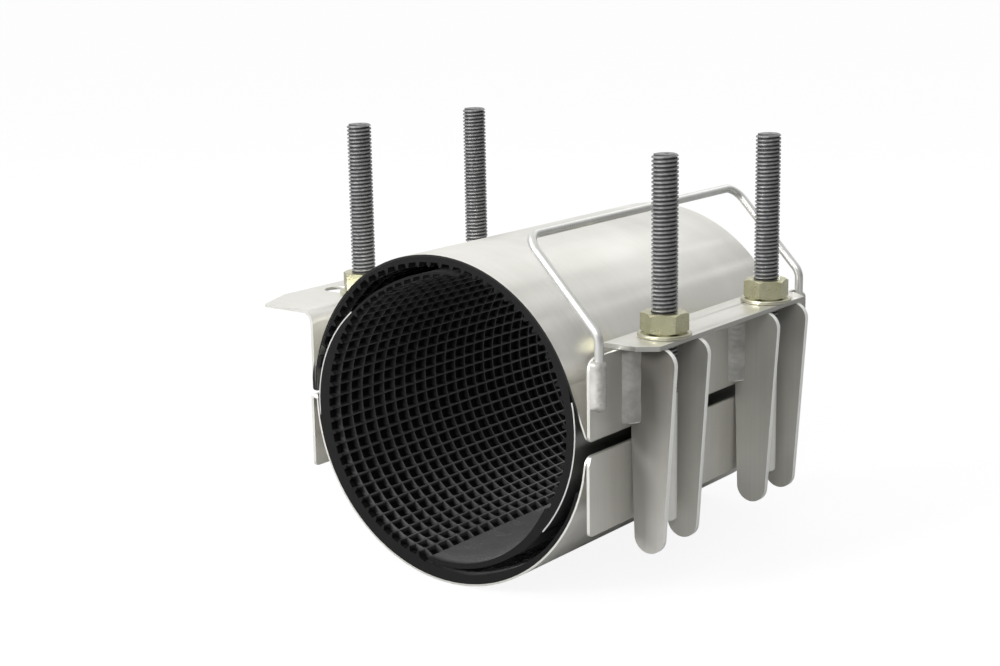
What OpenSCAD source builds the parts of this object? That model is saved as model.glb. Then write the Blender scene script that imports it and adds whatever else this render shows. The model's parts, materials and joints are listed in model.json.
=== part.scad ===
// Double band pipe repair coupling, 200 mm long, for steel pipe of about 140 mm.
// Two stainless half shells with rubber gaskets are drawn together by four studs.
// The origin lies on the pipe axis at mid length. The pipe runs along Y, the studs stand along Z.

/* [Pipe and length] */
// Radius of the pipe that the gaskets close on
bore_r = 70.3; // [60:0.1:90]
// Length of the coupling along the pipe
body_len = 200; // [180:1:300]

/* [Shells] */
// Thickness of the bands' stainless sheet
sheet = 1; // [0.8:0.1:1.6]
// Thickness of the lugs and of the flange
lug_t = 1.6; // [1:0.1:2.4]
// How far the lower shell stands off from the pipe radius
lower_gap = 13.2; // [12.4:0.1:14.5]
// Sideways place of the lower shell's centre
lower_shift_x = 3; // [2:0.1:4]
// Upward place of the lower shell's centre
lower_shift_z = 3.4; // [2.4:0.1:4.4]
// How far the upper shell stands off from the pipe radius
upper_gap = 12; // [11.6:0.1:14]
// Sideways place of the upper shell's centre
upper_shift_x = 0.4; // [0:0.1:1.2]
// Upward place of the upper shell's centre
upper_shift_z = 0.8; // [0.2:0.1:1.6]
// Height of the lower shell's folds above the pipe axis, right hand side
lower_fold_right = -1.7; // [-4:0.1:1]
// Height of the lower shell's folds above the pipe axis, left hand side
lower_fold_left = 3.8; // [-1:0.1:4.4]
// Height of the upper shell's fold above the pipe axis, right hand side
upper_fold_right = 4.7; // [3:0.1:8]
// Height of the upper shell's fold above the pipe axis, left hand side
upper_fold_left = 5; // [4.8:0.1:7]
// Height of the lower lugs
lower_lug_h = 39; // [30:1:50]
// Corner radius at the ends of the folds
fold_corner = 5; // [1:0.5:8]
// Corner radius at the free edge of the lugs
lug_corner = 6; // [1:0.5:10]
// Slip clearance between the right hand lower lug and what slides over it
lug_slip = 0.4; // [0.3:0.1:1]
// Air inside the left hand fold of the lower shell
left_air = 2.1; // [0.2:0.1:3]
// How far the upper lug stands back from the lower one, left hand side
left_step = 1.4; // [0.4:0.1:2]

/* [Flange of the upper shell] */
// Height of the flange's top face above the pipe axis
flange_top = 47.3; // [40:0.1:56]
// Reach of the flange from the lug to its outer edge
flange_reach = 41.5; // [36:0.1:50]
// Inside radius of the bend from the lug to the flange
flange_bend = 5; // [3:0.5:8]
// Length of the tapered corners along the pipe
taper_len = 24; // [10:1:30]
// Depth of the tapered corners
taper_depth = 9.5; // [4:0.5:14]
// Width of the open slots for the studs
slot_w = 14.5; // [14:0.1:17]
// Length of the open slots
slot_len = 34.3; // [28:0.1:36]

/* [Closing bar] */
// Width of the bar
bar_w = 27.2; // [25:0.1:34]
// Thickness of the bar
bar_t = 2.4; // [2:0.1:6]
// Length of the bar along the pipe
bar_len = 153; // [140:1:180]
// Height of the bar's underside above the pipe axis
bar_seat = 44.6; // [38:0.1:50]
// How far the bar reaches inwards over the lug
bar_lap = 8.3; // [6:0.1:12]
// Chamfer of the bar's outer corners across the bar
bar_chamfer = 9; // [2:0.5:12]
// Chamfer of the bar's outer corners along the bar
bar_end_cut = 6.5; // [2:0.5:12]
// Gap between the upper lug's top edge and the bar
lug_gap = 0.3; // [0.2:0.1:3]

/* [Studs, nuts and washers] */
// Diameter of the studs
stud_d = 12.7; // [10:0.1:13.5]
// Length of the studs
stud_len = 177; // [150:1:220]
// Distance between the studs along the pipe
stud_spacing = 98; // [94:1:104]
// Depth of the right hand studs' lower ends below the pipe axis
stud_drop = 43.7; // [36:0.1:50]
// How much higher the left hand studs sit
stud_lift = 4.5; // [0:0.1:8]
// Clearance between the studs and the upper lugs
stud_gap = 1.6; // [1.5:0.1:3]
// Width of the nuts across their flats
nut_af = 20.2; // [17:0.1:22]
// Height of the nuts
nut_h = 9.7; // [8:0.1:14]
// Radial running clearance of the nuts on the studs
nut_fit = 0.05; // [0.02:0.01:0.09]
// Diameter of the washers
washer_d = 26; // [22:0.5:30]
// Thickness of the washers
washer_t = 2; // [1.5:0.1:4]

/* [Fingers] */
// Thickness of the finger plates
finger_t = 3; // [2:0.1:4]
// Distance between the two fingers beside a stud, centre to centre
finger_spread = 30; // [24:0.1:34]
// Width of a finger below the bar
finger_w = 23.8; // [20:0.1:26]
// Radius of the finger tips
finger_tip = 8.1; // [6:0.1:9.5]
// How far the tips stand out from the lug, so that the lower lug finds its way in
finger_lead = 1.8; // [0.5:0.1:4]
// Depth of the finger tips below the pipe axis
finger_drop = 56.5; // [48:0.1:64]
// Radius of the fingers' top outer corner
finger_round = 8; // [4:0.5:12]

/* [Bail] */
// Diameter of the bail's wire
wire_d = 4.4; // [3:0.1:5]
// Distance from the ends of the shell to the bail's legs
bail_inset = 4.5; // [4:0.1:8]
// Height of the wire's lower ends above the pipe axis
bail_foot = 22; // [18:0.5:28]
// Height of the knuckle where the legs lean inwards
bail_knuckle = 54.3; // [50:0.1:60]
// Height of the bail's top bar
bail_top = 97.2; // [92:0.1:110]
// How far the bail leans inwards from its legs
bail_lean = 40.7; // [34:0.1:46]
// Radius of the bends in the wire
wire_bend = 9; // [6:0.5:14]

/* [Gaskets] */
// Angle between the ribs of the waffle face that run along the pipe
rib_pitch = 5; // [4:0.5:12]
// Width of the ribs at their crest
rib_crest = 1; // [0.6:0.1:2]
// Width of the ribs at their foot
rib_foot = 2.4; // [1.4:0.1:3.6]
// Depth of the pockets between the ribs
pocket_depth = 2.4; // [1:0.1:2.4]
// Distance between the rings of the waffle face, centre to centre
ring_pitch = 17.2; // [8:0.1:40]
// Width of the rings
ring_t = 1.4; // [0.8:0.1:3]
// Distance from the ends of the gaskets to the first ring
ring_inset = 5.5; // [4:0.1:12]
// Thickness of the bridge plates
plate_t = 0.8; // [0.5:0.1:1]
// Radius of the lower gasket's bridge plate
lower_plate_r = 64; // [60:0.5:68]
// Clearance between that plate and the lower shell
plate_gap = 0.7; // [0.3:0.1:1]
// Radius of the upper gasket's bridge plate
upper_plate_r = 76.6; // [72:0.1:80]
// How far that plate stands off from the pipe radius
upper_plate_gap = 10.4; // [10:0.1:10.8]
// Height of that plate's centre above the pipe axis
upper_plate_z = 7.4; // [6:0.1:9]

/* [Welds] */
// Width of the welds that hold the studs
stud_weld = 3.6; // [2:0.1:4]
// Width of the welds that hold the fingers
finger_weld = 5; // [3:0.1:6]
// Height of the welds that hold the bail, above the lug
bail_weld = 5; // [4.8:0.1:6]

/* [Hidden] */
$fn = 96;
eps = 0.01;

steel = [0.74, 0.73, 0.70];
dark_steel = [0.55, 0.54, 0.51];
stud_grey = [0.45, 0.45, 0.45];
gold_zinc = [0.68, 0.67, 0.47];
rubber = [0.09, 0.09, 0.09];

// Shell circles: centre and inside radius
lower_c = [lower_shift_x, lower_shift_z];
lower_r = bore_r + lower_gap;
upper_c = [upper_shift_x, upper_shift_z];
upper_r = bore_r + upper_gap;

// Angles at which the round stretches of the shells end, measured about their own centres
lower_end = -12;
upper_end = 21;
upper_left_end = 168;

// Inside face of the upper shell at its right fold, on the tangent from the round stretch
right_in = upper_c[0] + upper_r * cos(upper_end)
         + (upper_c[1] + upper_r * sin(upper_end) - upper_fold_right - sheet) * tan(upper_end);
// Sheet and lug that lie against each other in a closed fold
fold_w = sheet + lug_t;
// Outer faces of the right hand lugs
upper_right = right_in + fold_w;
lower_right = upper_right - lug_slip;
// How far the slots run into the face of the lug, and how far below the bend they start
slot_bite = 0.3;
slot_start = 3;
// Outer faces of the left hand lugs
lower_left = lower_c[0] - lower_r - fold_w - left_air;
upper_left = lower_left + left_step;

end_y = body_len / 2;
stud_r = stud_d / 2;
stud_y = stud_spacing / 2;
right_stud_x = upper_right + stud_gap + stud_r;
left_stud_x = upper_left - stud_gap - stud_r;
bar_top = bar_seat + bar_t;
flange_edge = upper_left - flange_reach;
washer_r = stud_r + 0.3;
bar_hole_r = stud_r + 0.8;
wire_gap = 0.05;
bail_x = upper_right + wire_gap + wire_d / 2;
bail_y = end_y - bail_inset;
lean_angle = atan2(bail_lean, bail_top - bail_knuckle);
lean_len = norm([bail_lean, bail_top - bail_knuckle]);
chord_step = 3;

// Bridge plates: centre, and the angles about the pipe axis between which they reach
lower_plate_c = [lower_c[0] - lower_r + plate_gap + plate_t / 2 + lower_plate_r, -0.2];
lower_plate_span = [-222, -175];
upper_plate_c = [bore_r + upper_plate_gap - upper_plate_r, upper_plate_z];
upper_plate_span = [-35, 16];

// Outlines of the gaskets as [angle about the pipe axis, height above the pipe's surface].
// Beyond a height of shell_side the rubber simply follows the shell.
shell_side = 30;
lower_back = [[-281, 7.0], [-274, 6.4], [-267, 5.2], [-260, 4.1], [-252, 3.2], [-243, 2.7],
              [-229, 3.3], [-222, 3.9], [-175, 8.7], [-172, shell_side], [-14, shell_side]];
lower_face = [[-284, 6.8], [-281, 6.2], [-276, 5.0], [-270, 3.2], [-262, 1.2], [-252, -1],
              [-100, -1], [-98, 3.2], [-86, 4.6], [-77, 5.9], [-67, 6.4], [-59, 7.5],
              [-52, 9.0], [-40, 10.8], [-25, 12.6], [-11, 13.6]];
upper_back = [[-97, 2.2], [-86, 2.6], [-65, 2.7], [-54, 3.1], [-42, 4.3], [-35, 5.0],
              [16, 11.2], [20, 12.4], [22, shell_side], [167, shell_side]];
upper_face = [[-20, -1], [-11, 1.7], [-5, 2.4], [3, 3.5], [10, 4.2], [25, 5.7],
              [37, 7.3], [45, 7.7], [104, 7.7], [117, 8.3], [124, 8.9], [132, 8.2],
              [141, 7.7], [148, 7.9], [155, 9.1], [160, 9.7], [170, 10.4]];

// Angles between which the rubber is ribbed; the rest is a smooth tongue or tip
lower_ribbed = [-278, -98];
upper_ribbed = [-27, 163];
// Rubber left between the pockets and the back, at the least
rubber_min = 1.2;

function polar(r, a) = r * [cos(a), sin(a)];

// Distance from the pipe axis, along angle a, to a circle with centre c and radius r
function reach(c, r, a) =
    let (p = c * [cos(a), sin(a)])
    p + sqrt(p * p - c * c + r * r);

// Angles from the first to the last in even steps
function sweep(a0, a1, step) =
    let (n = ceil((a1 - a0) / step))
    [for (i = [0 : n]) a0 + (a1 - a0) * i / n];

function first(table) = table[0][0];
function last(table) = table[len(table) - 1][0];

// Outer radius of a gasket: its table, or the middle of the bridge plate that it carries
function back_radius(table, c, r, span, a) =
    a >= span[0] && a <= span[1] ? reach(c, r, a) : bore_r + lookup(a, table);

// The profile lies in the XZ plane and runs along the pipe
module along_pipe(length = body_len) {
    rotate([90, 0, 0]) linear_extrude(length, center = true) children();
}

// The outline lies in the YZ plane and is t thick along X, from x0 outwards
module across(x0, t) {
    translate([x0, 0, 0]) rotate([90, 0, 90]) linear_extrude(t) children();
}

// Wedge of a disc, wide enough to cut out the stretch between two angles
module wedge(r, a0, a1) {
    polygon(concat([[0, 0]], [for (a = sweep(a0, a1, 20)) polar(r * 1.3, a)]));
}

module band(c, r, t, a0, a1) {
    translate(c) intersection() {
        difference() {
            circle(r + t, $fn = 240);
            circle(r, $fn = 240);
        }
        wedge(r + t, a0, a1);
    }
}

// Sheet that leaves a round stretch at angle a, runs straight to a tight fold and comes back as
// a flat lug. side is 1 on the right and -1 on the left; up is 1 where the fold points upwards.
module folded_lug(c, r, a, side, up, in_x, lug_x, fold_z, free_z) {
    fold_r = abs(lug_x - in_x) / 2;
    mid = [(lug_x + in_x) / 2, fold_z - up * fold_r];
    lap = -side * up * 1.5;
    outline = concat(
        [c + polar(r + sheet - eps, a), c + polar(r + sheet / 2, a + lap), c + polar(r + eps, a)],
        [for (t = sweep(0, 180, 15)) mid + fold_r * [-side * cos(t), up * sin(t)]],
        [[lug_x, free_z], [lug_x - side * lug_t, free_z], [lug_x - side * lug_t, mid[1]],
         [in_x + side * sheet, mid[1]]]);
    n = len(outline) - 1;
    // The points run counter-clockwise on every side
    polygon(side * up < 0 ? outline : [for (i = [0 : n]) outline[n - i]]);
}

// What is cut from the corner of a plate to round it
module corner(r) {
    difference() {
        translate([-eps, -eps]) square(r + eps);
        translate([r, r]) circle(r, $fn = 48);
    }
}

// Rounds the four ends of a fold or of a lug's free edge at height z
module edge_corners(x0, t, z, r, up) {
    across(x0, t)
        for (s = [-1, 1])
            translate([s * end_y, z]) scale([-s, up]) corner(r);
}

module lower_profile() {
    left_in = lower_c[0] - lower_r;
    left_angle = -180 + 4;
    band(lower_c, lower_r, sheet, left_angle, lower_end);
    folded_lug(lower_c, lower_r, lower_end, 1, 1, lower_right - fold_w, lower_right,
               lower_fold_right, lower_fold_right - lower_lug_h);
    folded_lug(lower_c, lower_r, left_angle, -1, 1, left_in, lower_left,
               lower_fold_left, lower_fold_left - lower_lug_h);
}

module lower_shell() {
    color(steel) difference() {
        along_pipe() lower_profile();
        edge_corners(lower_right - fold_w - sheet, fold_w + 2 * sheet, lower_fold_right,
                     fold_corner, -1);
        edge_corners(lower_right - lug_t - 0.5, lug_t + 1, lower_fold_right - lower_lug_h, 2, 1);
        edge_corners(lower_left - sheet, fold_w + left_air + 2 * sheet, lower_fold_left, 2, -1);
        edge_corners(lower_left - 0.5, lug_t + 1, lower_fold_left - lower_lug_h, 2, 1);
    }
}

module upper_profile() {
    bend_z = flange_top - lug_t - flange_bend;
    band(upper_c, upper_r, sheet, upper_end, upper_left_end);
    folded_lug(upper_c, upper_r, upper_end, 1, -1, right_in, upper_right,
               upper_fold_right, bar_seat - lug_gap);
    folded_lug(upper_c, upper_r, upper_left_end, -1, -1, upper_left + fold_w, upper_left,
               upper_fold_left, bend_z);
    band([upper_left - flange_bend, bend_z], flange_bend, lug_t, 0, 90);
    translate([flange_edge, flange_top - lug_t])
        square([flange_reach - flange_bend, lug_t]);
}

// Open slot for a stud, cut down through the flange and its bend
module flange_slot(y) {
    slot_in = upper_left + slot_bite - slot_w / 2;
    slot_out = upper_left - slot_len + slot_w / 2;
    cut_z = flange_top - lug_t - flange_bend - slot_start;
    for (x = [slot_in, slot_out])
        translate([x, y, cut_z]) cylinder(h = flange_top, d = slot_w, $fn = 64);
    translate([slot_out, y - slot_w / 2, cut_z]) cube([slot_in - slot_out, slot_w, flange_top]);
}

module flange_taper(side) {
    translate([0, 0, flange_top - 2 * lug_t]) linear_extrude(3 * lug_t)
        polygon([[flange_edge + taper_depth, side * (end_y + eps)],
                 [flange_edge - eps, side * (end_y - taper_len)],
                 [flange_edge - 1, side * (end_y - taper_len)],
                 [flange_edge - 1, side * (end_y + eps)]]);
}

module upper_shell() {
    color(steel) difference() {
        along_pipe() upper_profile();
        for (side = [-1, 1]) {
            flange_slot(side * stud_y);
            flange_taper(side);
        }
        edge_corners(right_in - sheet, fold_w + 2 * sheet, upper_fold_right, 3, 1);
        edge_corners(upper_right - lug_t - 0.5, lug_t + 1, bar_seat - lug_gap, lug_corner, -1);
        edge_corners(upper_left - sheet, fold_w + 2 * sheet, upper_fold_left, 2, 1);
    }
}

// Sector from the pipe axis out to the heights that a table gives
module fan(table, c, r, span) {
    polygon(concat([[0, 0]], [for (a = sweep(first(table), last(table), chord_step))
        polar(back_radius(table, c, r, span, a), a)]));
}

// Rubber between its back and its face, held open by the pipe
module gasket_profile(back, face, shell_c, shell_r, plate_c, plate_r, span) {
    difference() {
        intersection() {
            fan(back, plate_c, plate_r, span);
            translate(shell_c) circle(shell_r, $fn = 240);
        }
        circle(bore_r, $fn = 240);
        fan(face, plate_c, plate_r, [1, 0]);
        plate_profile(plate_c, plate_r, span);
    }
}

module plate_profile(c, r, span) {
    intersection() {
        translate(c) difference() {
            circle(r + plate_t / 2, $fn = 240);
            circle(r - plate_t / 2, $fn = 240);
        }
        wedge(lower_r, span[0], span[1]);
    }
}

// Radius of the pockets' floor at angle a: below the face, short of the back
function floor_radius(back, face, a) =
    bore_r + min(max(0, lookup(a, face)) + pocket_depth, lookup(a, back) - rubber_min);

// Cross-section of the grooves between the ribs
module groove_profile(back, face, ribbed) {
    count = round((ribbed[1] - ribbed[0]) / rib_pitch);
    pitch = (ribbed[1] - ribbed[0]) / count;
    for (i = [0 : count - 1]) {
        a0 = ribbed[0] + i * pitch;
        a1 = a0 + pitch;
        crest = rib_crest / 2 / bore_r * 180 / PI;
        foot = rib_foot / 2 / bore_r * 180 / PI;
        open_r = bore_r + max(0, lookup((a0 + a1) / 2, face)) - pocket_depth;
        rise = crest - (foot - crest);
        polygon([polar(open_r, a0 + rise),
                 polar(floor_radius(back, face, a0 + foot), a0 + foot),
                 polar(floor_radius(back, face, a1 - foot), a1 - foot),
                 polar(open_r, a1 - rise)]);
    }
}

// Pockets of the waffle face: grooves along the pipe, stopped by rings round it
module pockets(back, face, ribbed) {
    count = round((body_len - 2 * ring_inset) / ring_pitch);
    pitch = (body_len - 2 * ring_inset) / count;
    difference() {
        along_pipe(body_len + 2) groove_profile(back, face, ribbed);
        for (i = [0 : count])
            translate([0, -end_y + ring_inset + i * pitch, 0]) along_pipe(ring_t) circle(lower_r + sheet);
    }
}

module lower_gasket() {
    color(rubber) difference() {
        along_pipe() gasket_profile(lower_back, lower_face, lower_c, lower_r,
                                    lower_plate_c, lower_plate_r, lower_plate_span);
        pockets(lower_back, lower_face, lower_ribbed);
    }
}

module upper_gasket() {
    color(rubber) difference() {
        along_pipe() gasket_profile(upper_back, upper_face, upper_c, upper_r,
                                    upper_plate_c, upper_plate_r, upper_plate_span);
        pockets(upper_back, upper_face, upper_ribbed);
    }
}

module lower_bridge_plate() {
    color(steel) along_pipe() plate_profile(lower_plate_c, lower_plate_r, lower_plate_span);
}

module upper_bridge_plate() {
    color(steel) along_pipe() plate_profile(upper_plate_c, upper_plate_r, upper_plate_span);
}

// Fillet weld in the corner between a lug's face and a stud, either side of the stud, whose
// centre stands off from the face
module stud_welds(face, toward, stand, z0, z1) {
    for (s = [-1, 1])
        translate([0, 0, z0]) linear_extrude(z1 - z0) difference() {
            polygon([[face, s * stud_r * 0.3],
                     [face, s * (stud_r + stud_weld)],
                     [face + toward * stand * 0.9, s * (stud_r + 0.2)],
                     [face + toward * stand, s * stud_r * 0.3]]);
            translate([face + toward * (stand * 0.9 + stud_weld), s * (stud_r + stud_weld + 0.4)])
                circle(stud_weld, $fn = 32);
        }
}

// A stud with lightly chamfered ends, welded to the lug of the lower shell
module stud(x, y, face, fold, lift) {
    toward = sign(x);
    chamfer = 1.2;
    bottom = -stud_drop + lift;
    color(stud_grey) translate([0, y, 0]) {
        translate([x, 0, bottom]) rotate_extrude()
            polygon([[0, 0], [stud_r - chamfer, 0], [stud_r, chamfer],
                     [stud_r, stud_len - chamfer], [stud_r - chamfer, stud_len], [0, stud_len]]);
        stud_welds(face, toward, abs(x - face), fold - lower_lug_h + 3, fold - 4);
    }
}

module stud_front_right() {
    stud(right_stud_x, -stud_y, lower_right, lower_fold_right, 0);
}

module stud_back_right() {
    stud(right_stud_x, stud_y, lower_right, lower_fold_right, 0);
}

module stud_front_left() {
    stud(left_stud_x, -stud_y, lower_left, lower_fold_left, stud_lift);
}

module stud_back_left() {
    stud(left_stud_x, stud_y, lower_left, lower_fold_left, stud_lift);
}

// Hexagon nut with chamfered faces; turn sets how its flats stand
module nut(x, y, z, turn) {
    chamfer = 1;
    across_corners = nut_af / cos(30);
    color(gold_zinc) translate([x, y, z]) difference() {
        intersection() {
            rotate([0, 0, turn]) cylinder(h = nut_h, d = across_corners, $fn = 6);
            rotate_extrude()
                polygon([[0, 0], [nut_af / 2, 0], [across_corners / 2 + eps, chamfer],
                         [across_corners / 2 + eps, nut_h - chamfer], [nut_af / 2, nut_h],
                         [0, nut_h]]);
        }
        translate([0, 0, -1]) cylinder(h = nut_h + 2, r = stud_r + nut_fit);
    }
}

module nut_front_right() {
    nut(right_stud_x, -stud_y, bar_top + washer_t, 28);
}

module nut_back_right() {
    nut(right_stud_x, stud_y, bar_top + washer_t, 42);
}

module nut_front_left() {
    nut(left_stud_x, -stud_y, flange_top + washer_t, 20);
}

module nut_back_left() {
    nut(left_stud_x, stud_y, flange_top + washer_t, 10);
}

module washer(x, y, z) {
    color(gold_zinc) translate([x, y, z]) difference() {
        cylinder(h = washer_t, d = washer_d);
        translate([0, 0, -1]) cylinder(h = washer_t + 2, r = washer_r);
    }
}

module washer_front_right() {
    washer(right_stud_x, -stud_y, bar_top);
}

module washer_back_right() {
    washer(right_stud_x, stud_y, bar_top);
}

module washer_front_left() {
    washer(left_stud_x, -stud_y, flange_top);
}

module washer_back_left() {
    washer(left_stud_x, stud_y, flange_top);
}

module closing_bar() {
    in_x = upper_right - bar_lap;
    out_x = in_x + bar_w;
    half = bar_len / 2;
    color(steel) translate([0, 0, bar_seat]) difference() {
        linear_extrude(bar_t)
            polygon([[in_x, -half], [out_x - bar_chamfer, -half], [out_x, -half + bar_end_cut],
                     [out_x, half - bar_end_cut], [out_x - bar_chamfer, half], [in_x, half]]);
        for (y = [-stud_y, stud_y])
            translate([right_stud_x, y, -1]) cylinder(h = bar_t + 2, r = bar_hole_r);
    }
}

// Direction of the line that touches two circles on their outer side
function tangent_angle(p, q, rp, rq) =
    let (d = q - p)
    atan2(d[1], d[0]) - acos((rp - rq) / norm(d));

module finger_profile() {
    tip = [upper_right + finger_lead + finger_tip, -finger_drop + finger_tip];
    top = [upper_right + finger_w - finger_round, bar_seat - finger_round];
    a = tangent_angle(tip, top, finger_tip, finger_round);
    translate(tip) circle(finger_tip, $fn = 64);
    translate(top) circle(finger_round, $fn = 64);
    polygon([tip - [finger_tip, 0], tip + polar(finger_tip, a), top + polar(finger_round, a), top,
             [top[0], bar_seat], [upper_right, bar_seat], [upper_right, 0]]);
}

// Weld on the outer side of a finger, in its corner with the upper lug
module finger_seam(side) {
    leg = finger_weld;
    z0 = upper_fold_right + sheet + 2;
    z1 = bar_seat - lug_gap - 0.5;
    translate([upper_right, side * finger_t / 2, z0]) linear_extrude(z1 - z0)
        polygon([[0, -side * eps], [0, side * leg * 1.4], [leg * 0.4, side * leg],
                 [leg * 0.8, side * leg * 0.45], [leg, -side * eps]]);
}

module finger(y, side) {
    color(dark_steel) translate([0, y, 0]) {
        along_pipe(finger_t) finger_profile();
        finger_seam(side);
    }
}

module finger_front_outer() {
    finger(-stud_y - finger_spread / 2, -1);
}

module finger_front_inner() {
    finger(-stud_y + finger_spread / 2, 1);
}

module finger_back_inner() {
    finger(stud_y - finger_spread / 2, -1);
}

module finger_back_outer() {
    finger(stud_y + finger_spread / 2, 1);
}

module wire_bend_piece(angle) {
    rotate_extrude(angle = angle) translate([wire_bend, 0]) circle(d = wire_d, $fn = 32);
}

// One leg of the bail, up to the middle of its top bar
module bail_leg() {
    knuckle_cut = wire_bend * tan(lean_angle / 2);
    bend_z = bail_knuckle - knuckle_cut;
    bend_end = [bail_x - wire_bend + wire_bend * cos(lean_angle), bend_z + wire_bend * sin(lean_angle)];
    slope_len = lean_len - knuckle_cut - wire_bend;
    translate([bail_x, -bail_y, bail_foot])
        cylinder(h = bend_z - bail_foot, d = wire_d, $fn = 32);
    translate([bail_x - wire_bend, -bail_y, bend_z]) rotate([90, 0, 0]) wire_bend_piece(lean_angle);
    translate([bend_end[0], -bail_y, bend_end[1]]) rotate([0, -lean_angle, 0]) {
        cylinder(h = slope_len, d = wire_d, $fn = 32);
        translate([0, wire_bend, slope_len]) rotate([0, 0, -90]) rotate([90, 0, 0])
            wire_bend_piece(90);
    }
    translate([bail_x - bail_lean, -bail_y + wire_bend, bail_top]) rotate([-90, 0, 0])
        cylinder(h = bail_y - wire_bend, d = wire_d, $fn = 32);
}

// Heap of weld on the lug round the foot of the bail, thickest over the wire
module bail_bead() {
    translate([upper_right, -bail_y, bail_foot - 1]) linear_extrude(bar_seat - bail_foot - 3)
        polygon([[0, -4.4], [bail_weld * 0.3, -4.2], [bail_weld * 0.64, -3.2],
                 [bail_weld * 0.94, -1.8], [bail_weld, 0.3], [bail_weld * 0.9, 2],
                 [bail_weld * 0.6, 3.1], [0, 3.6]]);
}

module bail_handle() {
    color(steel)
        for (side = [0, 1])
            mirror([0, side, 0]) {
                bail_leg();
                bail_bead();
            }
}

lower_shell();
upper_shell();
lower_gasket();
upper_gasket();
lower_bridge_plate();
upper_bridge_plate();
stud_front_right();
stud_back_right();
stud_front_left();
stud_back_left();
nut_front_right();
nut_back_right();
nut_front_left();
nut_back_left();
washer_front_right();
washer_back_right();
washer_front_left();
washer_back_left();
closing_bar();
finger_front_outer();
finger_front_inner();
finger_back_inner();
finger_back_outer();
bail_handle();
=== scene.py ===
"""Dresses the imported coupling: waffle gaskets, threads, welds, finishes, stage and camera."""
import json
import math

import bmesh
import bpy
import numpy as np
from bpy.props import FloatProperty, FloatVectorProperty, IntProperty, PointerProperty
from mathutils import Matrix, Vector
from mathutils.bvhtree import BVHTree


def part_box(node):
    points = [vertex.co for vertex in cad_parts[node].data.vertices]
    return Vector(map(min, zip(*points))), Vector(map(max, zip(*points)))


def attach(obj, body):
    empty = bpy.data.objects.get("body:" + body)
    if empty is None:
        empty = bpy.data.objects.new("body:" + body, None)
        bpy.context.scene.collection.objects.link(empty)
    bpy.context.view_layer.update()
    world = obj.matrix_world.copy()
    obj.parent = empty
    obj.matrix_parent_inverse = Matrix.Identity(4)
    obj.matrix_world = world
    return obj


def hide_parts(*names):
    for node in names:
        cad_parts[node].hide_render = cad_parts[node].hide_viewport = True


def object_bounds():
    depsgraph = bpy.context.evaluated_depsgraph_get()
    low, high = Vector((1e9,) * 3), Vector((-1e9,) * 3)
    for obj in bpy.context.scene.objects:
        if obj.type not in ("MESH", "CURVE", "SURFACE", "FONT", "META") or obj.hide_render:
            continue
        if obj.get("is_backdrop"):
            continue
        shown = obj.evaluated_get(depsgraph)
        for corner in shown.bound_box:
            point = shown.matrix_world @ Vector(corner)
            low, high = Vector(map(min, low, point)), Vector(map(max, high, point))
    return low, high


bl_info = {
    "name": "Pipe repair coupling",
    "version": (1, 0, 0),
    "blender": (4, 5, 0),
    "location": "View3D > Sidebar > Coupling",
    "description": "Dresses a double band pipe repair coupling and sets its studio",
    "category": "Object",
}

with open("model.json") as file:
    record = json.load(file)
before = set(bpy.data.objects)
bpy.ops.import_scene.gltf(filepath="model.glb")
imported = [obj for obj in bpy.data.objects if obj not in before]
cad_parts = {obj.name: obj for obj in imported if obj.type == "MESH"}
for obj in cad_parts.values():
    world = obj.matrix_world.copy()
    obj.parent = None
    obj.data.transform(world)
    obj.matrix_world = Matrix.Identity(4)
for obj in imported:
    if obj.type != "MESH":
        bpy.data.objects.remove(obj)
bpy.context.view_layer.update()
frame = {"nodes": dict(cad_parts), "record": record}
NODES = frame["nodes"]
RECORD = frame["record"]
MM = 0.001

BODY_OF = {
    node: body
    for body, members in RECORD["behaviour"]["bodies"].items()
    for node in members
}
STUDS = ("front_right", "back_right", "front_left", "back_left")
FINGERS = ("front_outer", "front_inner", "back_inner", "back_outer")

# Radius of the pipe and half the coupling's length in millimetres, from the frame
BORE = RECORD["mounts"][0]["dims"]["r_mm"]
HALF_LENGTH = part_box("lower_shell")[1].y / MM

# Sizes of the part's source in millimetres: radius of the studs, thickness of the fingers
STUD_RADIUS = 6.35
FINGER_THICKNESS = 3.0

# Each gasket: the angles about the pipe axis, in degrees, where it ends and between which it has
# ribs, and its relaxed face as (angle, height above the pipe in millimetres)
GASKETS = {
    "lower_gasket": {
        "ends": (-281.0, -14.0),
        "ribbed": (-278.0, -98.0),
        "face": ((-284, 6.8), (-281, 6.2), (-276, 5.0), (-270, 3.2), (-262, 1.2), (-252, 0),
                 (-100, 0), (-98, 3.2), (-86, 4.6), (-77, 5.9), (-67, 6.4), (-59, 7.5),
                 (-52, 9.0), (-40, 10.8), (-25, 12.6), (-11, 13.6)),
    },
    "upper_gasket": {
        "ends": (-97.0, 167.0),
        "ribbed": (-27.0, 163.0),
        "face": ((-97, 0), (-20, 0), (-11, 1.7), (-5, 2.4), (3, 3.5), (10, 4.2), (25, 5.7),
                 (37, 7.3), (45, 7.7), (104, 7.7), (117, 8.3), (124, 8.9), (132, 8.2),
                 (141, 7.7), (148, 7.9), (155, 9.1), (160, 9.7), (170, 10.4)),
    },
}
# Least rubber behind a gasket's face and under its pockets, in millimetres
FACE_RUBBER = 0.4
POCKET_RUBBER = 1.2
# Columns that draw a whole gasket where it has no ribs, and their distance from ribs in degrees
PLAIN_COLUMNS = 140
COLUMN_GAP = 0.3
# Height of the shoulders of a rib's crest, as a share of the pocket's depth
CREST_SHOULDER = 0.92
# Crests are polished and painted lighter as a highlight, pockets painted darker as shade: the
# share of that on the gaskets' backs and ends, and how sharply it fades below the crests
LEAST_POLISH_AND_LIGHT = 0.05
POLISH_AND_LIGHT_POWER = 12
# Edges that turn by more degrees than this stay sharp: on gaskets, threads and welds
GASKET_SMOOTH = 58
THREAD_SMOOTH = 25
WELD_SMOOTH = 60

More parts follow.
